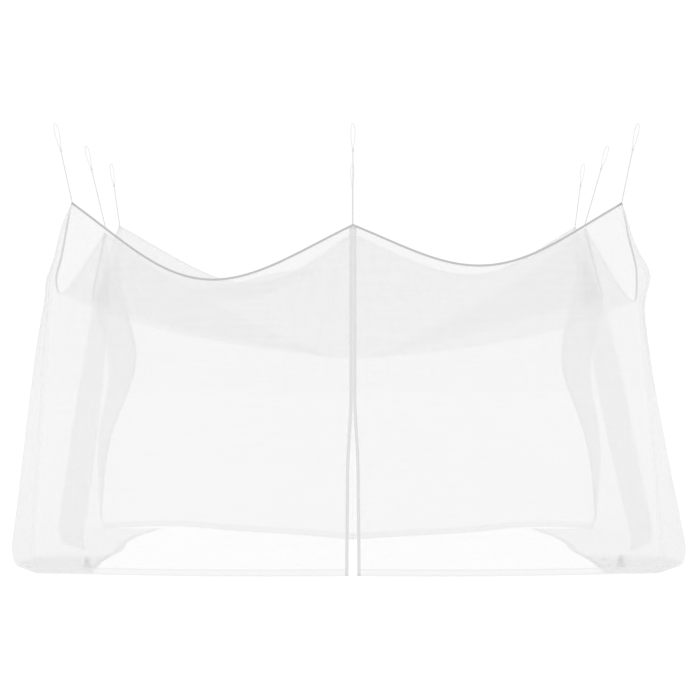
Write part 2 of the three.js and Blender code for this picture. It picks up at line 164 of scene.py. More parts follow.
def effect(name, inputs, outputs):
    """An empty shader group with named inputs and outputs, and its two end nodes."""
    group = bpy.data.node_groups.new(name, "ShaderNodeTree")
    for label, value in inputs:
        socket = group.interface.new_socket(name=label, in_out="INPUT", socket_type="NodeSocketFloat")
        socket.default_value = value
    for label in outputs:
        group.interface.new_socket(name=label, in_out="OUTPUT", socket_type="NodeSocketFloat")
    return group, group.nodes.new("NodeGroupInput"), group.nodes.new("NodeGroupOutput")


def chart_axes(tree, layer):
    """The two numbers of a UV map."""
    chart = tree.nodes.new("ShaderNodeUVMap")
    chart.uv_map = layer
    parts = tree.nodes.new("ShaderNodeSeparateXYZ")
    join(tree, chart.outputs["UV"], parts.inputs[0])
    return parts.outputs["X"], parts.outputs["Y"]


def yarn_effect():
    """Yarns laid slantwise: half a sine wave of (along times the count, plus round times the slant),
    with a little noise, as height from 0 to 1."""
    group, given, result = effect(
        "yarns", [("Count", 500.0), ("Slant", 400.0), ("Fuzz", 0.25)], ["Height"])
    along, around = chart_axes(group, "chart")
    phase = number(group, "MULTIPLY", along, given.outputs["Count"])
    phase = number(group, "MULTIPLY_ADD", around, given.outputs["Slant"], phase)
    wave = number(group, "SINE", number(group, "MULTIPLY", phase, 2.0 * math.pi))
    wave = number(group, "MULTIPLY_ADD", wave, 0.5, 0.5)
    noise = group.nodes.new("ShaderNodeTexNoise")
    noise.inputs["Scale"].default_value = 900.0
    noise.inputs["Detail"].default_value = 2.0
    place = group.nodes.new("ShaderNodeTexCoord")
    join(group, place.outputs["Object"], noise.inputs["Vector"])
    spread = number(group, "SUBTRACT", noise.outputs["Fac"], 0.5)
    height = number(group, "MULTIPLY_ADD", spread, given.outputs["Fuzz"], wave)
    join(group, height, result.inputs["Height"])
    return group


yarns = yarn_effect()


def woven_material(name, dark, light, count, slant, roughness, bump):
    """A yarn material: the grey goes from dark in the furrows to light on the yarns, as painted shade in
    the furrows.
    """
    material = bpy.data.materials.new(name)
    material.use_nodes = True
    tree = material.node_tree
    surface = tree.nodes["Principled BSDF"]
    surface.inputs["Roughness"].default_value = roughness
    surface.inputs["Sheen Weight"].default_value = 0.15
    pattern = tree.nodes.new("ShaderNodeGroup")
    pattern.node_tree = yarns
    pattern.inputs["Count"].default_value = count
    pattern.inputs["Slant"].default_value = slant
    # painted shade: the base colour is darker in the furrows between the yarns
    ramp = tree.nodes.new("ShaderNodeMix")
    ramp.data_type = "RGBA"
    ramp.inputs["A"].default_value = (dark, dark, dark, 1.0)
    ramp.inputs["B"].default_value = (light, light, light, 1.0)
    join(tree, pattern.outputs["Height"], ramp.inputs["Factor"])
    join(tree, ramp.outputs["Result"], surface.inputs["Base Color"])
    relief = tree.nodes.new("ShaderNodeBump")
    relief.inputs["Strength"].default_value = bump
    relief.inputs["Distance"].default_value = 0.0006
    join(tree, pattern.outputs["Height"], relief.inputs["Height"])
    join(tree, relief.outputs["Normal"], surface.inputs["Normal"])
    return material


cord_yarn = woven_material(
    "cord_yarn", dark=0.76, light=0.90, count=420.0, slant=260.0, roughness=0.8, bump=0.5)


def laid_pair(start, end):
    """Two strands wound round a straight line: each strand's middle is the line's point plus the lay
    radius times (cosine of the turn times one side way, plus sine times the other), half a turn apart."""
    way = (end - start) / np.linalg.norm(end - start)
    first = np.cross(way, [0.0, 1.0, 0.0])
    first /= np.linalg.norm(first)
    second = np.cross(first, way)
    length = np.linalg.norm(end - start)
    share = np.linspace(0.0, 1.0, int(length / twist_pitch * points_per_twist) + 1)
    strands = []
    for offset in (0.0, math.pi):
        turn = 2.0 * math.pi * share * length / twist_pitch + offset
        middle = start + share[:, None] * (end - start)
        middle = middle + lay_radius * (np.cos(turn)[:, None] * first + np.sin(turn)[:, None] * second)
        strands.append(tube(middle, strand_radius, 6))
    return strands


def side_way(way):
    aside = np.cross([0.0, 1.0, 0.0], way)
    return aside / np.linalg.norm(aside)


def loop_path(base, way):
    """The open loop above the knot, as a teardrop: it rises by half its length times (1 - cosine of the
    turn) and stands out by half its width times sine of the turn times sine of half the turn."""
    turn = 2.0 * math.pi * np.linspace(loop_ends, 1.0 - loop_ends, loop_points)
    rise = (loop_length - strand_radius) * (1.0 - np.cos(turn)) / 2.0
    out = (loop_width / 2.0 - strand_radius) * loop_roundness * np.sin(turn) * np.sin(turn / 2.0)
    return base + rise[:, None] * way + out[:, None] * side_way(way)


def knot_coil(base, way):
    """The knot: four close turns of the strand round the cord, which swell in the middle as a cosine."""
    aside = side_way(way)
    depth = np.cross(way, aside)
    turn = 2.0 * math.pi * np.linspace(0.0, knot_turns, knot_points)
    share = np.linspace(-0.5, 0.5, knot_points)
    climb = share * knot_height
    swell = knot_radius + knot_swell * np.cos(math.pi * share)
    coil = base + climb[:, None] * way
    return coil + swell[:, None] * (np.cos(turn)[:, None] * aside + np.sin(turn)[:, None] * depth)


for node, across, depth, hook_across in cord_places:
    start = np.array([across, depth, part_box(node)[0][2] + cord_lift])
    hook = np.array([hook_across, depth, hook_height])
    way = (hook - start) / np.linalg.norm(hook - start)
    knot = hook - way * loop_length
    loop = loop_path(knot, way)
    strands = laid_pair(start, knot) + [tube(loop, strand_radius * loop_strand, 8)]
    cord = mesh_piece(node + "_strands", strands, cord_yarn)
    turns = tube(knot_coil(knot, way), strand_radius * knot_strand, 7)
    coil = mesh_piece(node + "_knot", [turns], cord_yarn)
    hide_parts(node)


# Top tape: a woven tape 12 mm wide, sewn round the top over the raw edges of the walls and the roof,
# with a join at each corner. The tape is one light colour: its outer face is painted grey as painted
# shade, and its inner face is painted near white as painted light.
# One line for each hanging point and for the middle of each swag, from the door seam anticlockwise:
# the tape's place and height, the foot's place on the floor, the outward way in degrees, and how the
# wall below flares, puffs out, is drawn in, turns in on the floor, and how steep the roof's rim is.
net_lines = np.array([
    (0.015, 0.00, 1.930, 0.015, 0.000, -90, 1.0, 0.00, 0.00, 0.00, 0.3),
    (0.757, -0.06, 1.707, 0.742, -0.015, -90, 1.0, 0.03, 0.00, 0.00, 0.3),
    (1.492, 0.00, 2.048, 1.752, 0.150, -31, 1.0, 0.07, 0.00, 0.30, 0.4),
    (1.645, 0.75, 1.524, 2.000, 0.850, 0, 1.0, -0.02, 0.00, 0.54, 0.5),
    (1.437, 1.50, 1.983, 1.782, 1.500, 0, 1.6, -0.03, 0.00, 0.36, 0.2),
    (1.622, 2.25, 1.560, 1.967, 2.300, 0, 1.0, 0.02, 0.00, 0.58, 0.0),
    (1.525, 3.00, 2.055, 1.682, 3.150, 31, 1.0, 0.00, 0.19, 0.42, 0.3),
    (0.832, 3.10, 1.735, 0.702, 2.760, 90, 1.0, 0.06, 0.00, 0.00, 0.3),
    (0.015, 3.00, 2.010, 0.015, 2.300, 90, 1.0, 0.00, 0.00, 0.00, 0.3),
    (-0.700, 3.10, 1.675, -0.638, 2.860, 90, 1.0, 0.06, 0.00, 0.00, 0.3),
    (-1.563, 3.00, 2.062, -1.708, 3.150, 149, 1.0, 0.00, 0.21, 0.38, 0.3),
    (-1.658, 2.25, 1.540, -1.903, 2.300, 180, 1.0, 0.00, 0.00, 0.45, 0.2),
    (-1.497, 1.50, 1.958, -1.683, 1.500, 180, 1.7, -0.03, 0.00, 0.22, 0.2),
    (-1.681, 0.75, 1.570, -1.980, 0.850, 180, 1.0, 0.06, 0.00, 0.50, 0.4),
    (-1.528, 0.00, 2.050, -1.788, 0.150, -149, 1.0, 0.105, 0.00, 0.32, 0.4),
    (-0.795, -0.06, 1.630, -0.758, -0.015, -90, 1.0, 0.03, 0.00, 0.00, 0.3),
])
(tape_across, tape_depth, tape_height, foot_across, foot_depth, facing,
 flare, puff, notch, turn_in, rim_rise) = net_lines.T
spans = len(net_lines) // 2
middle_depth = 1.650
swag_roundness = 0.35
# where a roll of slack cloth stands out beside the front corners: station, reach, height, its half
# height, and how far out
rolls = [(1.02, 0.2, 1.660, 0.120, 0.062), (6.78, 0.2, 1.640, 0.080, 0.019)]
tape_width = 0.012
tape_thickness = 0.0024
tape_steps = 40
tape_lean = math.radians(62.0)
lean_ramp = 0.06
band_corners = 16
band_roundness = 0.25
corner_gap = 0.0004
seam_gap = 0.0003
station_step = 0.002
# how the wall puffs out under the tape and is drawn in lower down
puff_reach = 0.1
notch_fall = 0.44
notch_reach = 0.2
notch_start = 8.0
# the fold of cloth behind each rear corner, and how its foot spreads back
ear_out = 0.36
ear_reach = 0.07
ear_start = 0.16
ear_fade = 0.78
ear_fade_power = 1.5
ear_back = 0.33
ear_back_at = 0.22
ear_back_reach = 0.16
ear_back_start = 0.05
# how the foot of a side wall is tucked in
tuck_in = 0.035
tuck_height = 0.12
tuck_from = 1.45
tuck_over = 0.25


def bell(distance, reach):
    return np.exp(-((distance / reach) ** 2))


def eased(share):
    """A step from 0 to 1, level at both ends: t t (3 - 2 t)."""
    return share * share * (3.0 - 2.0 * share)


def swag(share):
    """A swag's fall: 0.65 of the parabola 4 t (1 - t), and 0.35 of the square of sine of pi t."""
    parabola = 4.0 * share * (1.0 - share)
    return (1.0 - swag_roundness) * parabola + swag_roundness * np.sin(math.pi * share) ** 2


def over_span(station, value):
    """A value of a line, given by its row, spread along a span: straight from one end to the other,
    plus the swag times how far the middle line's value is from the mean of the ends'."""
    span = np.minimum(np.floor(station).astype(int), spans - 1)
    share = station - span
    start = value(2 * span)
    middle = value(2 * span + 1)
    end = value((2 * span + 2) % (2 * spans))
    return start + (end - start) * share + (middle - (start + end) / 2.0) * swag(share)


def line_place(row, fall):
    """A line of the wall in plan: from the tape to its foot as the fall to the power of its flare. Along
    its outward way its puff times (1 - exp(-fall / reach)) is added, and its notch times a bell of the
    fall is taken off."""
    slope = fall ** flare[row]
    fade = np.where(puff[row] > 0, 1.0 - slope, 1.0)
    drawn_in = notch[row] * bell(fall - notch_fall, notch_reach) * np.minimum(1.0, fall * notch_start)
    out = (puff[row] * (1.0 - np.exp(-fall / puff_reach)) - drawn_in) * fade
    angle = np.radians(facing[row])
    x = tape_across[row] + (foot_across[row] - tape_across[row]) * slope + out * np.cos(angle)
    y = tape_depth[row] + (foot_depth[row] - tape_depth[row]) * slope + out * np.sin(angle)
    return x, y


def wall_point(station, fall):
    """The wall's middle surface: the lines spread along their span, with a fold of cloth behind each
    rear corner that stands out as q exp(1 - q), rolls beside the front corners, and the foot tucked in."""
    station, fall = np.broadcast_arrays(np.asarray(station, float), np.asarray(fall, float))
    height = over_span(station, lambda row: tape_height[row]) * (1.0 - fall)
    x = over_span(station, lambda row: line_place(row, fall)[0])
    y = over_span(station, lambda row: line_place(row, fall)[1])
    for first, side in ((3, 1.0), (4, -1.0)):
        share = station - first if side > 0 else first + 1 - station
        inside = (share >= 0.0) & (share <= 1.0)
        share = np.clip(share, 0.0, 1.0)
        bulge = share / ear_reach * np.exp(1.0 - share / ear_reach)
        grown = (1.0 - bell(fall, ear_start)) * (1.0 - ear_fade * fall ** ear_fade_power)
        spread = bell(share - ear_back_at, ear_back_reach) * (1.0 - np.exp(-share / ear_back_start))
        x = x + inside * side * ear_out * bulge * grown
        y = y + inside * ear_back * spread * fall
    for place, reach, at_height, tall, out in rolls:
        x = x + np.sign(x) * out * bell(station - place, reach) * bell(height - at_height, tall)
    low = np.clip(1.0 - height / tuck_height, 0.0, 1.0) ** 2
    x = x - np.sign(x) * tuck_in * low * np.clip((np.abs(x) - tuck_from) / tuck_over, 0.0, 1.0)
    return np.stack([x, y - middle_depth, height], axis=-1)


def tape_line(stations):
    """The tape's middle, its level outward way, and how much longer it is than its plan."""
    middle = wall_point(stations, 0.0)
    before = wall_point((stations - station_step) % spans, 0.0)
    after = wall_point((stations + station_step) % spans, 0.0)
    along = after - before
    plan = np.hypot(along[:, 0], along[:, 1])
    outward = np.stack([along[:, 1], -along[:, 0], 0.0 * plan], axis=-1) / plan[:, None]
    slant = np.zeros(len(stations))
    for there in (before, after):
        gone = there - middle
        run = np.hypot(gone[:, 0], gone[:, 1])
        slant += np.hypot(run, gone[:, 2]) / run / 2.0
    return middle, outward, slant


def leaned(station, middle, outward, slant):
    """The side tapes lean out between the corners, because their slack upper edge falls outwards: they
    turn about their lower edge by the lean times an eased step from the corners. Gives the tape's
    middle, its outward way and its upright way."""
    side = np.where(station < 4.0, station - 1.0, station - 5.0)
    turn = tape_lean * eased(np.clip(np.minimum(side, 2.0 - side) / lean_ramp, 0.0, 1.0))
    before = wall_point((station - station_step) % spans, 0.0)
    after = wall_point((station + station_step) % spans, 0.0)
    along = after - before
    along /= np.linalg.norm(along, axis=1)[:, None]
    square = np.cross(outward, along)
    square *= np.sign(square[:, 2])[:, None]
    level = np.stack([0.0 * slant, 0.0 * slant, slant], axis=-1)
    upright = level + (square - level) * np.minimum(turn / tape_lean, 1.0)[:, None]
    up = np.cos(turn)[:, None] * upright + np.sin(turn)[:, None] * outward
    out = np.cos(turn)[:, None] * outward - np.sin(turn)[:, None] * upright
    foot = middle - tape_width / 2.0 * level
    return foot + tape_width / 2.0 * up, out, up


def band(middle, outward, upright, width, thickness):
    """A flat tape along a line: its section is a rectangle with rounded edges, whose corners are the
    sign of cosine and sine of the angle times their size to the power of the roundness, half the width
    up and half the thickness out. The chart runs along it and round it, in metres."""
    angle = np.linspace(0.0, 2.0 * math.pi, band_corners, endpoint=False) + math.pi / band_corners
    up = np.sign(np.sin(angle)) * np.abs(np.sin(angle)) ** band_roundness * width / 2.0
    out = np.sign(np.cos(angle)) * np.abs(np.cos(angle)) ** band_roundness * thickness / 2.0
    points = middle[:, None, :] + out[:, None] * outward[:, None, :] + up[:, None] * upright[:, None, :]
    count = len(angle)
    row, column = np.meshgrid(np.arange(len(middle) - 1), np.arange(count), indexing="ij")
    here = row * count + column
    beside = row * count + (column + 1) % count
    faces = np.stack([here, beside, beside + count, here + count], axis=-1).reshape(-1, 4)
    length = np.concatenate([[0.0], np.cumsum(np.linalg.norm(np.diff(middle, axis=0), axis=1))])
    chart = np.stack([np.repeat(length, count), np.tile(up, len(middle))], axis=-1)
    last = (len(middle) - 1) * count
    ends = [list(range(count - 1, -1, -1)), list(range(last, last + count))]
    inner = np.tile(np.cos(angle) < 0.0, len(middle) - 1)
    return (points.reshape(-1, 3), faces, chart, ends), inner


# painted shade and painted light: one tape given a darker grey on its outer face and a near-white on its
# inner face
tape_outer_painted_shade = woven_material(
    "tape_outer_painted_shade", dark=0.48, light=0.66, count=700.0, slant=0.0, roughness=0.75, bump=0.4)
tape_inner_painted_light = woven_material(
    "tape_inner_painted_light", dark=0.94, light=0.99, count=700.0, slant=0.0, roughness=0.8, bump=0.3)
# piece, first station and last station
tape_lengths = [("front", 7.0, 9.0), ("right", 1.0, 3.0), ("rear", 3.0, 5.0), ("left", 5.0, 7.0)]

for name, first, last in tape_lengths:
    stations = np.linspace(first, last, 2 * tape_steps + 1)
    stations[0] += corner_gap
    stations[-1] -= corner_gap
    middle, outward, slant = tape_line(stations % spans)
    upright = np.stack([0.0 * slant, 0.0 * slant, slant], axis=-1)
    if name in ("right", "left"):
        middle, outward, upright = leaned(stations, middle, outward, slant)
    part, inner = band(middle, outward, upright, tape_width, tape_thickness)
    tape = mesh_piece(name + "_tape_woven", [part], tape_outer_painted_shade)
    tape.data.materials.append(tape_inner_painted_light)
    # inner faces take the painted-light material, outer faces the painted-shade one
    faces = np.concatenate([inner, [False, False]]).astype(np.int32)
    tape.data.polygons.foreach_set("material_index", faces)
    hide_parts(name + "_tape")


# Walls and front panels: fine white warp-knitted mesh, cut as straight lengths and sewn to each other
# at the corners with a narrow flat seam. The hem is 38 mm deep with two rows of stitches. The side
# walls are longer than the drop, so their hems lie on the floor, turned in.
hem_depth = 0.038
hem_rows = 12
hem_lift = 0.0016
hem_ripple = 0.0012
foot_lift = 0.001
seam_width = 0.020
stitch_half = 0.0035
slub_stretch = (1.6, 26.0, 1.0)
wall_columns = 60
wall_falls = 64
fall_crowding = 1.15
rear_crowding = 1.35
front_half = 1.5
door_closed = 0.010
door_parted = 0.019
door_foot = 0.0045
door_opens_at = 1.0
door_opens_over = 0.45
door_spreads_at = 0.55
door_tape_width = 0.018


def door_half(height):
    """Half the way between the door tapes' middles: closed above, opened in one eased step, and spread
    a little more towards the floor in another."""
    opened = eased(np.clip((door_opens_at - height) / door_opens_over, 0.0, 1.0))
    spread = eased(np.clip((door_spreads_at - height) / door_spreads_at, 0.0, 1.0))
    return door_closed + door_parted * opened + door_foot * spread


def front_station(share, fall, side):
    """The station of a front panel's column: its first column runs beside the door tape, which is
    found by scaling the station until the wall's point is that far from the seam."""
    target = door_half(tape_height[0] * (1.0 - fall)) + door_tape_width / 2.0 + seam_gap
    station = target / front_half
    for _ in range(5):
        place = wall_point(station if side > 0 else spans - station, fall)[..., 0]
        station = station * target / np.abs(place - tape_across[0])
    near = station + (1.0 - station) * share
    return near if side > 0 else spans - near


def cloth_piece(name, points, chart, edges, material):
    """A sheet from a grid of points, with rows down and columns round, facing out. The chart is in
    metres along the cloth and up from its hem, and edges holds how far off the side seam is, and
    whether the cloth lies on the floor."""
    rows, columns = points.shape[:2]
    row, column = np.meshgrid(np.arange(rows - 1), np.arange(columns - 1), indexing="ij")
    here = row * columns + column
    faces = np.stack([here, here + columns, here + columns + 1, here + 1], axis=-1).reshape(-1, 4)
    mesh = bpy.data.meshes.new(name)
    mesh.from_pydata(points.reshape(-1, 3).tolist(), [], faces.tolist())
    mesh.polygons.foreach_set("use_smooth", [True] * len(mesh.polygons))
    corner = np.empty(len(mesh.loops), np.int32)
    mesh.loops.foreach_get("vertex_index", corner)
    for label, values in (("chart", chart), ("edges", edges)):
        layer = mesh.uv_layers.new(name=label)
        layer.data.foreach_set("uv", values.reshape(-1, 2)[corner].astype(np.float32).ravel())
    mesh.materials.append(material)
    mesh.update()
    piece = bpy.data.objects.new(name, mesh)
    bpy.context.collection.objects.link(piece)
    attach(piece, "root")
    return piece


def mesh_threads_effect():
    """The knitted net: threads across and up, each a narrow bell at every pitch, with slubs from noise
    drawn out along the threads. Cover is the share of light stopped, and its mean stays as given."""
    group, given, result = effect(
        "mesh_threads", [("Cover", 0.31), ("Pitch", 0.0018), ("Relief", 0.08), ("Slub", 0.05)],
        ["Cover", "Height"])
    along, up = chart_axes(group, "chart")
    waves = []
    for axis in (along, up):
        pitches = number(group, "DIVIDE", axis, given.outputs["Pitch"])
        waves.append(number(group, "COSINE", number(group, "MULTIPLY", pitches, 2.0 * math.pi)))
    grid = number(group, "MULTIPLY", number(group, "ADD", waves[0], waves[1]), 0.5)
    join(group, grid, result.inputs["Height"])
    chart = group.nodes.new("ShaderNodeUVMap")
    chart.uv_map = "chart"
    spread = group.nodes.new("ShaderNodeMapping")
    spread.inputs["Scale"].default_value = slub_stretch
    join(group, chart.outputs["UV"], spread.inputs["Vector"])
    noise = group.nodes.new("ShaderNodeTexNoise")
    noise.inputs["Scale"].default_value = 1.0
    noise.inputs["Detail"].default_value = 4.0
    join(group, spread.outputs["Vector"], noise.inputs["Vector"])
    uneven = number(group, "SUBTRACT", noise.outputs["Fac"], 0.5)
    slub = number(group, "MULTIPLY", uneven, given.outputs["Slub"])
    cover = number(group, "MULTIPLY_ADD", grid, given.outputs["Relief"], given.outputs["Cover"])
    join(group, number(group, "ADD", cover, slub), result.inputs["Cover"])
    return group


def sewn_edges_effect():
    """Where the cloth is doubled: 1 over the hem and over the side seams. Stitch is 1 on the rows of
    stitches at the hem's fold and top, and Laid is 1 where the cloth lies bunched on the floor."""
    group, given, result = effect(
        "sewn_edges", [("Hem", hem_depth), ("Seam", seam_width)], ["Doubled", "Stitch", "Laid"])
    along, up = chart_axes(group, "chart")
    side, laid = chart_axes(group, "edges")
    hem = number(group, "LESS_THAN", up, given.outputs["Hem"])
    seam = number(group, "LESS_THAN", side, given.outputs["Seam"])
    doubled = number(group, "MAXIMUM", hem, seam)
    rows = []
    for place in (stitch_half, hem_depth - stitch_half):
        off = number(group, "ABSOLUTE", number(group, "SUBTRACT", up, place))
        rows.append(number(group, "LESS_THAN", off, stitch_half))
    join(group, laid, result.inputs["Laid"])
    join(group, doubled, result.inputs["Doubled"])
    join(group, number(group, "MAXIMUM", rows[0], rows[1]), result.inputs["Stitch"])
    return group


mesh_threads = mesh_threads_effect()
sewn_edges = sewn_edges_effect()
# how much lighter the threads are than the furrows (painted shade in the furrows), and how much more light
# each of these stops
thread_lift = 0.03
doubled_cover = 0.23
stitch_cover = 0.28
laid_cover = 0.32
full_cover = 0.98


def net_material(name, cover, sewn=True, shade=0.86):
    """See-through mesh: a matt near-white cloth whose cover comes from the threads, and is more where
    the cloth is doubled and most on the stitches. Shade is the threads' grey, painted a little darker in
    the furrows as painted shade; where it is set lower, the darker grey is painted shade too."""
    material = bpy.data.materials.new(name)
    material.use_nodes = True
    tree = material.node_tree
    surface = tree.nodes["Principled BSDF"]
    surface.inputs["Roughness"].default_value = 0.9
    surface.inputs["Specular IOR Level"].default_value = 0.1
    threads = tree.nodes.new("ShaderNodeGroup")
    threads.node_tree = mesh_threads
    threads.inputs["Cover"].default_value = cover
    # painted shade: the base colour is a little darker in the furrows between the threads
    tint = tree.nodes.new("ShaderNodeMix")
    tint.data_type = "RGBA"
    tint.inputs["A"].default_value = (shade, shade, shade, 1.0)
    light = shade + thread_lift
    tint.inputs["B"].default_value = (light, light, light, 1.0)
    lit = number(tree, "MULTIPLY_ADD", threads.outputs["Height"], 0.5, 0.5)
    join(tree, lit, tint.inputs["Factor"])
    join(tree, tint.outputs["Result"], surface.inputs["Base Color"])
    relief = tree.nodes.new("ShaderNodeBump")
    relief.inputs["Strength"].default_value = 0.2
    relief.inputs["Distance"].default_value = 0.0003
    join(tree, threads.outputs["Height"], relief.inputs["Height"])
    join(tree, relief.outputs["Normal"], surface.inputs["Normal"])
    alpha = threads.outputs["Cover"]
    if sewn:
        edges = tree.nodes.new("ShaderNodeGroup")
        edges.node_tree = sewn_edges
        alpha = number(tree, "MULTIPLY_ADD", edges.outputs["Doubled"], doubled_cover, alpha)
        alpha = number(tree, "MULTIPLY_ADD", edges.outputs["Stitch"], stitch_cover, alpha)
        alpha = number(tree, "MULTIPLY_ADD", edges.outputs["Laid"], laid_cover, alpha)
    join(tree, number(tree, "MINIMUM", alpha, full_cover), surface.inputs["Alpha"])
    return material


front_mesh = net_material("front_mesh", 0.33)
side_mesh = net_material("side_mesh", 0.37)

# piece, first station, last station, door side, flat width and height
wall_cuts = [
    ("front_right_panel", 0.0, 1.0, 1, 1.75, 2.0),
    ("right_wall", 1.0, 3.0, 0, 3.30, 2.2),
    ("rear_wall", 3.0, 5.0, 0, 3.60, 2.1),
    ("left_wall", 5.0, 7.0, 0, 3.30, 2.2),
    ("front_left_panel", 7.0, 8.0, -1, 1.75, 2.0),
]


def along_rows(points):
    """How far each point is along its row."""
    steps = np.linalg.norm(np.diff(points, axis=1), axis=2)
    return np.concatenate([np.zeros((len(points), 1)), np.cumsum(steps, axis=1)], axis=1)


def up_columns(points):
    """How far each point is up its column from the last row."""
    steps = np.linalg.norm(np.diff(points, axis=0), axis=2)
    down = np.concatenate([np.zeros((1, points.shape[1])), np.cumsum(steps, axis=0)], axis=0)
    return down[-1] - down


def share_out(points, rows):
    """How far across the hem on the floor each point is, from 0 at the wall's foot to 1 at its edge."""
    across = np.zeros(points.shape[:2])
    if len(points) > rows:
        across[rows:] = np.linspace(0.0, 1.0, len(points) - rows + 1)[1:, None]
    return across


# folds that fan out from the hanging points, and broader ones: how many, how they start or slant,
# and how deep they are
fan_turns, fan_start, fan_reach, fan_depth = 26.0, 0.16, 0.30, 0.007
broad_turns, broad_slant, broad_shift, broad_depth = 9.0, 3.0, 1.3, 0.006
crease_margin = 0.06
crease_start = 0.1


def creases(station, fall):
    """Small folds that fan out from the hanging points: waves of the way round divided by the fall, as
    deep as a few millimetres, that fade at the seams, at the tape and on the floor."""
    share = station - np.floor(station)
    near = np.minimum(share, 1.0 - share)
    fan = np.sin(fan_turns * near / (fan_start + fall)) * bell(near, fan_reach)
    broad = np.sin(broad_turns * share + broad_slant * fall + broad_shift * np.floor(station))
    fade = np.clip(near / crease_margin, 0.0, 1.0) * np.clip(fall / crease_start, 0.0, 1.0)
    return (fan_depth * fan + broad_depth * broad) * fade * (1.0 - fall ** 3)


# where the side walls' hems are gathered up on the floor: the place across and in depth, the folds,
# and how wide and tall the gather stands
hem_gathers = {
    "left_wall": [((-1.488, 0.36), 3, 0.056, 0.074), ((-1.470, 1.95), 2, 0.014, 0.016)],
    "right_wall": [((1.532, 0.38), 3, 0.060, 0.084), ((1.483, 0.52), 2, 0.022, 0.024),
                   ((1.486, 0.86), 2, 0.018, 0.022), ((1.422, 1.95), 2, 0.016, 0.018)],
}
gather_rows = 9
gather_points_per_fold = 16
gather_taper = 0.7
gather_fold = 0.20
gather_depth = 0.45
gather_lift = 0.0015
# painted shade: the gathers get a darker grey than the rest of the same white net, for the shade inside
# their folds
gather_mesh_painted_shade = net_material("gather_mesh_painted_shade", 0.20, sewn=False, shade=0.72)


def gather_points(place, turns, wide, tall):
    """A fan of folds that stands on the floor: narrow at the top and wide at the foot. Across, it is the
    width times (share - 0.5) times (1 - taper times up), plus a sine that folds it back on itself. In
    depth it is a sine a quarter turn later, and its top edge is an arch of sine."""
    columns = np.linspace(0.0, 1.0, gather_points_per_fold * turns + 1)
    share, up = np.meshgrid(columns, np.linspace(1.0, 0.0, gather_rows))
    turn = 2.0 * math.pi * turns * share
    x = wide * (share - 0.5) * (1.0 - gather_taper * up) + gather_fold * wide * np.sin(turn)
    y = gather_depth * wide * np.cos(turn) * (1.0 - 0.4 * up)
    z = gather_lift + tall * up * (0.65 + 0.35 * np.sin(math.pi * share))
    fan = np.stack([place[0] + x, place[1] - middle_depth + y, z], axis=-1)
    return fan, np.stack([along_rows(fan), up_columns(fan)], axis=-1)


# how the hem lies bunched on the floor: from this far back it thins out over the next length, and
# slanting ridges cross it
laid_back, laid_over = 1.30, 0.35
rung_pitch, rung_slant, rung_cover, rung_power = 0.26, 0.08, 0.35, 8

for name, first, last, door_side, flat_width, flat_height in wall_cuts:
    columns = int(wall_columns * (last - first)) + 1
    share = np.linspace(0.0, 1.0, columns)
    if name == "rear_wall":
        from_middle = np.abs(2.0 * share - 1.0)
        share = 0.5 + 0.5 * np.sign(share - 0.5) * (1.0 - (1.0 - from_middle) ** rear_crowding)
    fall = np.linspace(0.0, 1.0, wall_falls) ** fall_crowding
    share, fall = np.meshgrid(share, fall)
    if door_side > 0:
        station = front_station(share, fall, 1)
    elif door_side < 0:
        station = front_station(1.0 - share, fall, -1)
    else:
        station = first + (last - first) * share
    points = wall_point(station, fall)
    ahead = wall_point(np.clip(station + station_step, first, last), fall)
    behind = wall_point(np.clip(station - station_step, first, last), fall)
    along = ahead - behind
    outward = np.stack([along[..., 1], -along[..., 0], 0.0 * along[..., 0]], axis=-1)
    outward /= np.linalg.norm(outward, axis=-1)[..., None]
    crease = creases(np.clip(station, first + 1e-6, last - 1e-6), fall)
    points = points + crease[..., None] * outward
    _, _, slant = tape_line(station[0] % spans)
    points[0, :, 2] -= (tape_width / 2.0 + seam_gap) * slant
    if name in ("right_wall", "left_wall"):
        width = np.maximum(over_span(station[0], lambda row: turn_in[row]), 0.001)
        shares = np.linspace(0.0, 1.0, hem_rows + 1)[1:, None]
        laid_hem = np.repeat(points[-1:], hem_rows, axis=0)
        laid_hem[:, :, 0] -= np.sign(points[-1, :, 0]) * width * shares
        laid_hem[:, :, 2] = hem_lift + hem_ripple * np.sin(shares * 9.0 + station[0] * 21.0)
        points[-1, :, 2] = foot_lift
        points = np.concatenate([points, laid_hem], axis=0)
    chart = np.stack([along_rows(points), up_columns(points)], axis=-1)
    to_side = np.minimum(chart[..., 0], chart[..., 0][:, -1:] - chart[..., 0])
    if door_side > 0:
        to_side = chart[..., 0][:, -1:] - chart[..., 0]
    if door_side < 0:
        to_side = chart[..., 0]
    back = points[..., 1] + middle_depth
    slanted = back - rung_slant * share_out(points, wall_falls)
    rungs = np.cos(math.pi * slanted / rung_pitch) ** rung_power
    laid = np.clip((laid_back - back) / laid_over, 0.0, 1.0) + rung_cover * rungs
    laid[:wall_falls] = 0.0
    edges = np.stack([to_side, laid], axis=-1)
    cloth = side_mesh if name in ("right_wall", "left_wall") else front_mesh
    wall = cloth_piece(name + "_mesh", points, chart, edges, cloth)
    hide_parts(name)
    gathers = []
    for place, turns, wide, tall in hem_gathers.get(name, []):
        fan, fan_chart = gather_points(place, turns, wide, tall)
        label = name + "_gather_" + str(len(gathers) + 1)
        gathers.append(cloth_piece(label, fan, fan_chart, 1.0 + 0.0 * fan_chart, gather_mesh_painted_shade))


# Roof: one square of the same mesh, slack enough to hang in a belly under the eight hanging points.
# Ridges run from the hanging points into the belly, with troughs from the low swags between.
belly = np.array([0.012, 1.150, 1.185])
belly_round = 0.1
rim_power = 4
fold_fade = 30
roof_columns = 48
roof_rings = 56
roof_middle = 0.996
# station, reach, ring, width and rise of each fold behind the front tape
roof_folds = [(7.64, 0.28, 0.81, 0.065, 0.150), (7.64, 0.30, 0.925, 0.045, -0.070),
              (0.36, 0.22, 0.81, 0.065, 0.060), (0.36, 0.22, 0.925, 0.045, -0.030)]


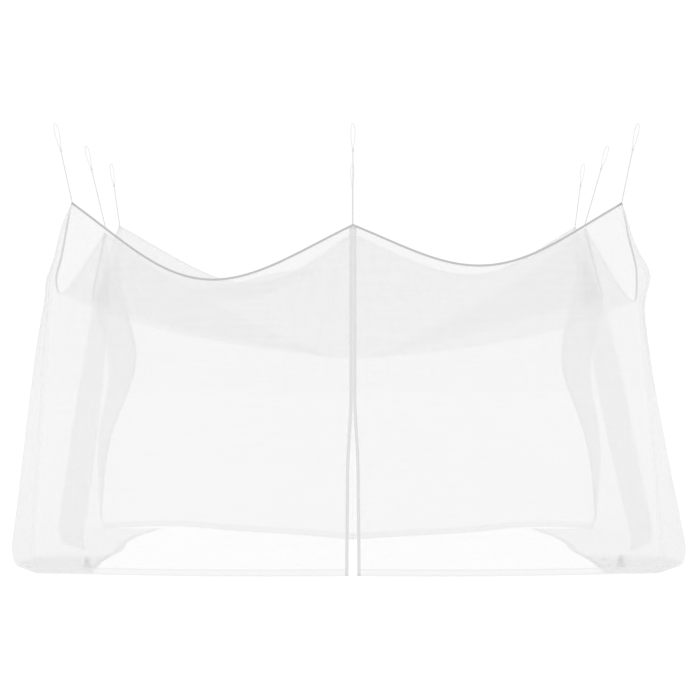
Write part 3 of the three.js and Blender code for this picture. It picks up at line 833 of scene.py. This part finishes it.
def roof_point(station, ring):
    """The roof: straight in plan from the belly's bottom to the tape. Its height is the belly's, plus
    the tape's rise over it times a rounded cone, mixed with a power of the ring at its rim, plus folds
    that are bells along the tape and across it."""
    edge = wall_point(station, 0.0)
    rise = over_span(station, lambda row: rim_rise[row])
    cone = np.sqrt(ring ** 2 + belly_round ** 2) - belly_round
    cone = cone / (math.sqrt(1.0 + belly_round ** 2) - belly_round)
    height = belly[2] + (edge[..., 2] - belly[2]) * ((1.0 - rise) * cone + rise * ring ** rim_power)
    for place, reach, at_ring, width, up in roof_folds:
        fold = up * bell(station - place, reach) * bell(ring - at_ring, width)
        height = height + fold * (1.0 - ring ** fold_fade)
    x = belly[0] + (edge[..., 0] - belly[0]) * ring
    y = (belly[1] - middle_depth) + (edge[..., 1] - (belly[1] - middle_depth)) * ring
    return np.stack([x, y, height], axis=-1)


roof_mesh = net_material("roof_mesh", 0.25, sewn=False)
stations = np.linspace(0.0, spans, roof_columns * spans + 1)
rings = 1.0 - np.linspace(0.0, roof_middle, roof_rings)
station, ring = np.meshgrid(stations, rings)
points = roof_point(station, ring)
middle, outward, slant = tape_line(stations % spans)
leaned_middle, leaned_outward, _ = leaned(stations, middle, outward, slant)
on_side = ((stations > 1.0) & (stations < 3.0)) | ((stations > 5.0) & (stations < 7.0))
middle = np.where(on_side[:, None], leaned_middle, middle)
outward = np.where(on_side[:, None], leaned_outward, outward)
points[0] = middle - outward * (tape_thickness / 2.0 + seam_gap)
points[:, -1] = points[:, 0]
chart = points[..., :2].copy()
edges = np.stack([1.0 - ring, 1.0 - ring], axis=-1)
roof = cloth_piece("roof_mesh_sheet", points[::-1], chart[::-1], edges[::-1], roof_mesh)
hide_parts("roof")


# Door tapes: a lighter tape down the free edge of each front panel, plain-woven and folded over the
# cut edge of the mesh. They meet above and part below, where each ends in a stitched corner.
door_points = 73
door_slope = 0.35
door_grey = woven_material(
    "door_grey", dark=0.74, light=0.84, count=0.0, slant=500.0, roughness=0.8, bump=0.4)

for name, side in (("left_door_tape", -1.0), ("right_door_tape", 1.0)):
    fall = np.linspace(0.0, 1.0, door_points)
    half = door_half(tape_height[0] * (1.0 - fall))
    _, _, peak = tape_line(np.array([0.0]))
    top = tape_height[0] - (tape_width / 2.0 + seam_gap) * peak[0] - half * door_slope
    height = np.where(fall > 0.0, (tape_height[0] - half * door_slope) * (1.0 - fall), top)
    middle = np.stack([tape_across[0] + side * half, 0.0 * half - middle_depth, height], axis=-1)
    outward = np.tile([0.0, -1.0, 0.0], (len(fall), 1))
    across = np.tile([1.0, 0.0, 0.0], (len(fall), 1))
    part, _ = band(middle, outward, across, door_tape_width, tape_thickness)
    tape = mesh_piece(name + "_woven", [part], door_grey)
    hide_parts(name)


# Studio: a plain white floor, an even white surround and two large soft lights.
floor_reach = 40.0
floor_height = -0.002
floor_mesh = bpy.data.meshes.new("floor")
floor_corners = [(across * floor_reach, depth * floor_reach, floor_height)
                 for across, depth in ((-1, -1), (1, -1), (1, 1), (-1, 1))]
floor_mesh.from_pydata(floor_corners, [], [(0, 1, 2, 3)])
floor = bpy.data.objects.new("floor", floor_mesh)
bpy.context.collection.objects.link(floor)
floor_white = bpy.data.materials.new("floor_white")
floor_white.use_nodes = True
floor_surface = floor_white.node_tree.nodes["Principled BSDF"]
floor_surface.inputs["Base Color"].default_value = (0.12, 0.12, 0.12, 1.0)
floor_surface.inputs["Roughness"].default_value = 0.9
floor_surface.inputs["Emission Color"].default_value = (1.0, 1.0, 1.0, 1.0)
floor_surface.inputs["Emission Strength"].default_value = 0.88
floor_mesh.materials.append(floor_white)

world = bpy.data.worlds.new("surround")
world.use_nodes = True
backdrop = world.node_tree.nodes["Background"]
backdrop.inputs["Color"].default_value = (1.0, 1.0, 1.0, 1.0)
seen = world.node_tree.nodes.new("ShaderNodeLightPath").outputs["Is Camera Ray"]
strength = number(world.node_tree, "MULTIPLY_ADD", seen, 0.20, 0.82)
join(world.node_tree, strength, backdrop.inputs["Strength"])
bpy.context.scene.world = world
bpy.context.scene.view_settings.view_transform = "Standard"

# name, place, size and power of each light, which looks at a point 1 m over the middle of the floor
lights = [("key_light", (-5.0, -7.0, 6.0), 4.0, 60.0), ("fill_light", (6.0, -4.0, 5.0), 5.0, 30.0)]
for name, place, size, power in lights:
    light = bpy.data.lights.new(name, "AREA")
    light.size = size
    light.energy = power
    lamp = bpy.data.objects.new(name, light)
    lamp.location = place
    bpy.context.collection.objects.link(lamp)
    turn = math.atan2(-place[0], place[1])
    tilt = math.atan2(math.hypot(place[0], place[1]), place[2] - 1.0)
    lamp.rotation_euler = (tilt, 0.0, math.pi + turn)
